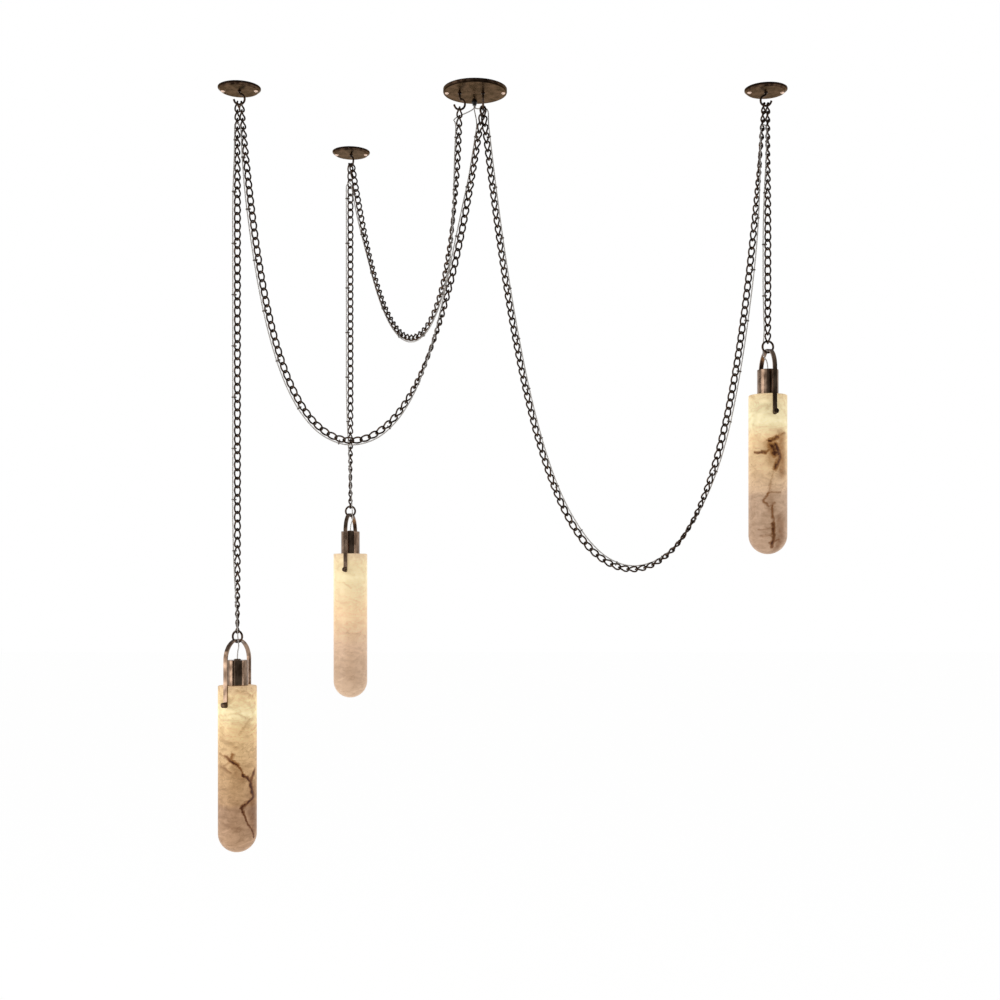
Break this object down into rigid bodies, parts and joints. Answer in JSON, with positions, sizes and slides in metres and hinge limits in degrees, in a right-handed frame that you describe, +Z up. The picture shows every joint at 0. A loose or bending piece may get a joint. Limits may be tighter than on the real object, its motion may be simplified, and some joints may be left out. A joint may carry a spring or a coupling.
{
  "type": "chandelier",
  "caption": "Swag chandelier: alabaster cylinder pendants hang from ceiling plates on bronze chains that loop over from a central canopy.",
  "frame": {"origin": "centre of the canopy on the ceiling, at its crossbar's top face", "axes": "+Z up to the ceiling, X runs right as seen in the picture, Y runs away from the viewer"},
  "size_m": [1.068, 0.4853, 1.4315],
  "materials": {
    "plate_bronze": "dark satin bronze",
    "chain_bronze": "dark bronze",
    "pendant_bronze": "dark satin bronze",
    "screw_steel": "bright",
    "zinc_steel": "zinc plated",
    "black_plastic": "matte",
    "white_plastic": "matte",
    "clear_cord": "clear sheath",
    "tie_plastic": "semi-clear band",
    "holder_ceramic": "matte glaze",
    "lamp_glass": "opal, lit",
    "alabaster": "polished, lit from inside"
  },
  "bodies": {
    "ceiling": {"canopy_plate": "plate_bronze", "canopy_crossbar": "zinc_steel", "left_ceiling_plate": "plate_bronze", "middle_ceiling_plate": "plate_bronze", "right_ceiling_plate": "plate_bronze", "plate_crossbars": "zinc_steel", "cover_screws": "screw_steel", "ceiling_hooks": "chain_bronze", "hook_nuts": "zinc_steel", "cord_gland": "black_plastic", "terminal_block": "white_plastic", "canopy_cord_tails": "clear_cord"},
    "left_swag": {"left_swag_chain": "chain_bronze", "left_swag_cord": "clear_cord", "left_swag_ties": "tie_plastic"},
    "left_hook_link": {"left_hook_link": "chain_bronze"},
    "left_drop": {"left_drop_chain": "chain_bronze", "left_drop_cord": "clear_cord", "left_drop_ties": "tie_plastic"},
    "left_ring": {"left_hanging_ring": "chain_bronze"},
    "left_pendant": {"left_stirrup": "pendant_bronze", "left_thumb_screws": "pendant_bronze", "left_lamp_cup": "pendant_bronze", "left_cup_nipple": "pendant_bronze", "left_lampholder": "holder_ceramic", "left_lamp": "lamp_glass", "left_alabaster_shade": "alabaster", "left_pendant_cord": "clear_cord"},
    "middle_swag": {"middle_swag_chain": "chain_bronze", "middle_swag_cord": "clear_cord", "middle_swag_ties": "tie_plastic"},
    "middle_hook_link": {"middle_hook_link": "chain_bronze"},
    "middle_drop": {"middle_drop_chain": "chain_bronze", "middle_drop_cord": "clear_cord", "middle_drop_ties": "tie_plastic"},
    "middle_ring": {"middle_hanging_ring": "chain_bronze"},
    "middle_pendant": {"middle_stirrup": "pendant_bronze", "middle_thumb_screws": "pendant_bronze", "middle_lamp_cup": "pendant_bronze", "middle_cup_nipple": "pendant_bronze", "middle_lampholder": "holder_ceramic", "middle_lamp": "lamp_glass", "middle_alabaster_shade": "alabaster", "middle_pendant_cord": "clear_cord"},
    "right_swag": {"right_swag_chain": "chain_bronze", "right_swag_cord": "clear_cord", "right_swag_ties": "tie_plastic"},
    "right_hook_link": {"right_hook_link": "chain_bronze"},
    "right_drop": {"right_drop_chain": "chain_bronze", "right_drop_cord": "clear_cord", "right_drop_ties": "tie_plastic"},
    "right_ring": {"right_hanging_ring": "chain_bronze"},
    "right_pendant": {"right_stirrup": "pendant_bronze", "right_thumb_screws": "pendant_bronze", "right_lamp_cup": "pendant_bronze", "right_cup_nipple": "pendant_bronze", "right_lampholder": "holder_ceramic", "right_lamp": "lamp_glass", "right_alabaster_shade": "alabaster", "right_pendant_cord": "clear_cord"}
  },
  "joints": [
    {"name": "left_swag_sway", "type": "hinge", "parent": "ceiling", "child": "left_swag", "pos_m": [0.015, -0.0039, -0.03724], "axis": [-0.9998, -0.0089, 0.0152], "range_deg": [-1, 10], "deforming": ["canopy_cord_tails", "left_drop_cord"]},
    {"name": "left_hook_sway", "type": "hinge", "parent": "ceiling", "child": "left_hook_link", "pos_m": [-0.4451, -0.00806, -0.03036], "axis": [0.9998, 0.0175, 0], "range_deg": [-1.5, 10], "deforming": ["left_drop_cord"]},
    {"name": "left_drop_sway", "type": "hinge", "parent": "left_hook_link", "child": "left_drop", "pos_m": [-0.4451, -0.00806, -0.04354], "axis": [-0.0175, 0.9998, 0], "range_deg": [-1, 12], "deforming": ["left_drop_cord"]},
    {"name": "left_ring_swing", "type": "hinge", "parent": "left_drop", "child": "left_ring", "pos_m": [-0.4451, -0.00806, -1.02791], "axis": [-0.4067, -0.9135, 0], "range_deg": [-12, 12], "deforming": ["left_pendant_cord"]},
    {"name": "left_pendant_rock", "type": "hinge", "parent": "left_ring", "child": "left_pendant", "pos_m": [-0.4451, -0.00806, -1.03841], "axis": [0.9135, -0.4067, 0], "range_deg": [-12, 12], "deforming": ["left_pendant_cord"]},
    {"name": "middle_swag_sway", "type": "hinge", "parent": "ceiling", "child": "middle_swag", "pos_m": [-0.029, 0, -0.03803], "axis": [-0.5453, 0.8381, 0.0173], "range_deg": [-8, 10], "deforming": ["canopy_cord_tails", "middle_drop_cord"]},
    {"name": "middle_hook_sway", "type": "hinge", "parent": "ceiling", "child": "middle_hook_link", "pos_m": [-0.27496, 0.37802, -0.03036], "axis": [0.5454, -0.8382, 0], "range_deg": [-8, 10], "deforming": ["middle_drop_cord"]},
    {"name": "middle_drop_sway", "type": "hinge", "parent": "middle_hook_link", "child": "middle_drop", "pos_m": [-0.27496, 0.37802, -0.04354], "axis": [0.8382, 0.5454, 0], "range_deg": [-8, 12], "deforming": ["middle_drop_cord"]},
    {"name": "middle_ring_swing", "type": "hinge", "parent": "middle_drop", "child": "middle_ring", "pos_m": [-0.27496, 0.37802, -0.77191], "axis": [-0.1736, -0.9848, 0], "range_deg": [-12, 12], "deforming": ["middle_pendant_cord"]},
    {"name": "middle_pendant_rock", "type": "hinge", "parent": "middle_ring", "child": "middle_pendant", "pos_m": [-0.27496, 0.37802, -0.78241], "axis": [0.9848, -0.1736, 0], "range_deg": [-12, 12], "deforming": ["middle_pendant_cord"]},
    {"name": "right_swag_sway", "type": "hinge", "parent": "ceiling", "child": "right_swag", "pos_m": [0.015, 0.0039, -0.03724], "axis": [0.9999, -0.0074, 0.013], "range_deg": [-1, 10], "deforming": ["canopy_cord_tails", "right_drop_cord"]},
    {"name": "right_hook_sway", "type": "hinge", "parent": "ceiling", "child": "right_hook_link", "pos_m": [0.5501, 0, -0.03036], "axis": [-1, 0, 0], "range_deg": [-1, 10], "deforming": ["right_drop_cord"]},
    {"name": "right_drop_sway", "type": "hinge", "parent": "right_hook_link", "child": "right_drop", "pos_m": [0.5501, 0, -0.04354], "axis": [0, -1, 0], "range_deg": [-1, 12], "deforming": ["right_drop_cord"]},
    {"name": "right_ring_swing", "type": "hinge", "parent": "right_drop", "child": "right_ring", "pos_m": [0.5501, 0, -0.48391], "axis": [0.1564, -0.9877, 0], "range_deg": [-8, 12], "deforming": ["right_pendant_cord"]},
    {"name": "right_pendant_rock", "type": "hinge", "parent": "right_ring", "child": "right_pendant", "pos_m": [0.5501, 0, -0.49441], "axis": [0.9877, 0.1564, 0], "range_deg": [-12, 12], "deforming": ["right_pendant_cord"]}
  ]
}
